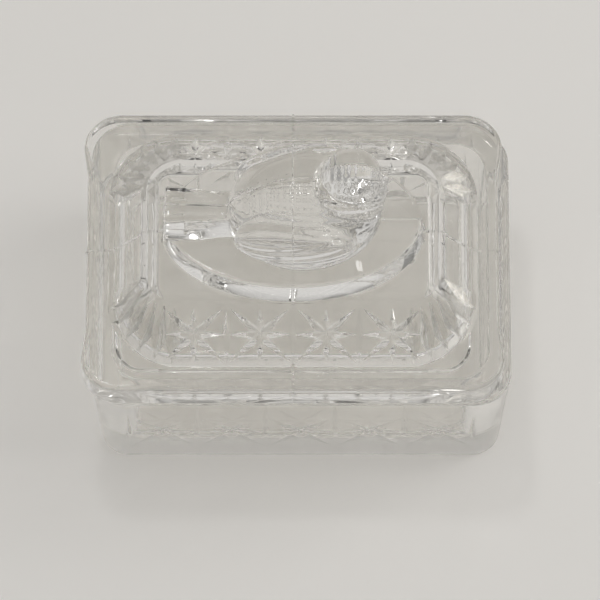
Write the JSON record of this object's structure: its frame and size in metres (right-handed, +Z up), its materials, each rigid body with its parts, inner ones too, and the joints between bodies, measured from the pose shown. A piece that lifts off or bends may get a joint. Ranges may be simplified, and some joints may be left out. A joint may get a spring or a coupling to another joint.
{
  "type": "inkwell",
  "caption": "Rectangular clear pressed-glass well with a hollow star-cut lid that lifts straight off and carries a bird finial.",
  "frame": {"origin": "under the middle of the whole object, on the surface that it stands on", "axes": "+X along the length, the way the bird faces; +Y across, away from the front; +Z up"},
  "size_m": [0.0966, 0.07, 0.0812],
  "materials": {
    "clear_glass": "clear pressed glass, fire-polished, faintly wavy"
  },
  "bodies": {
    "well": {"base": "clear_glass"},
    "cover": {"lid": "clear_glass"}
  },
  "joints": [
    {"name": "lid_lift", "type": "slide", "parent": "well", "child": "cover", "axis": [0, 0, 1], "range_m": [0, 0.07]}
  ]
}
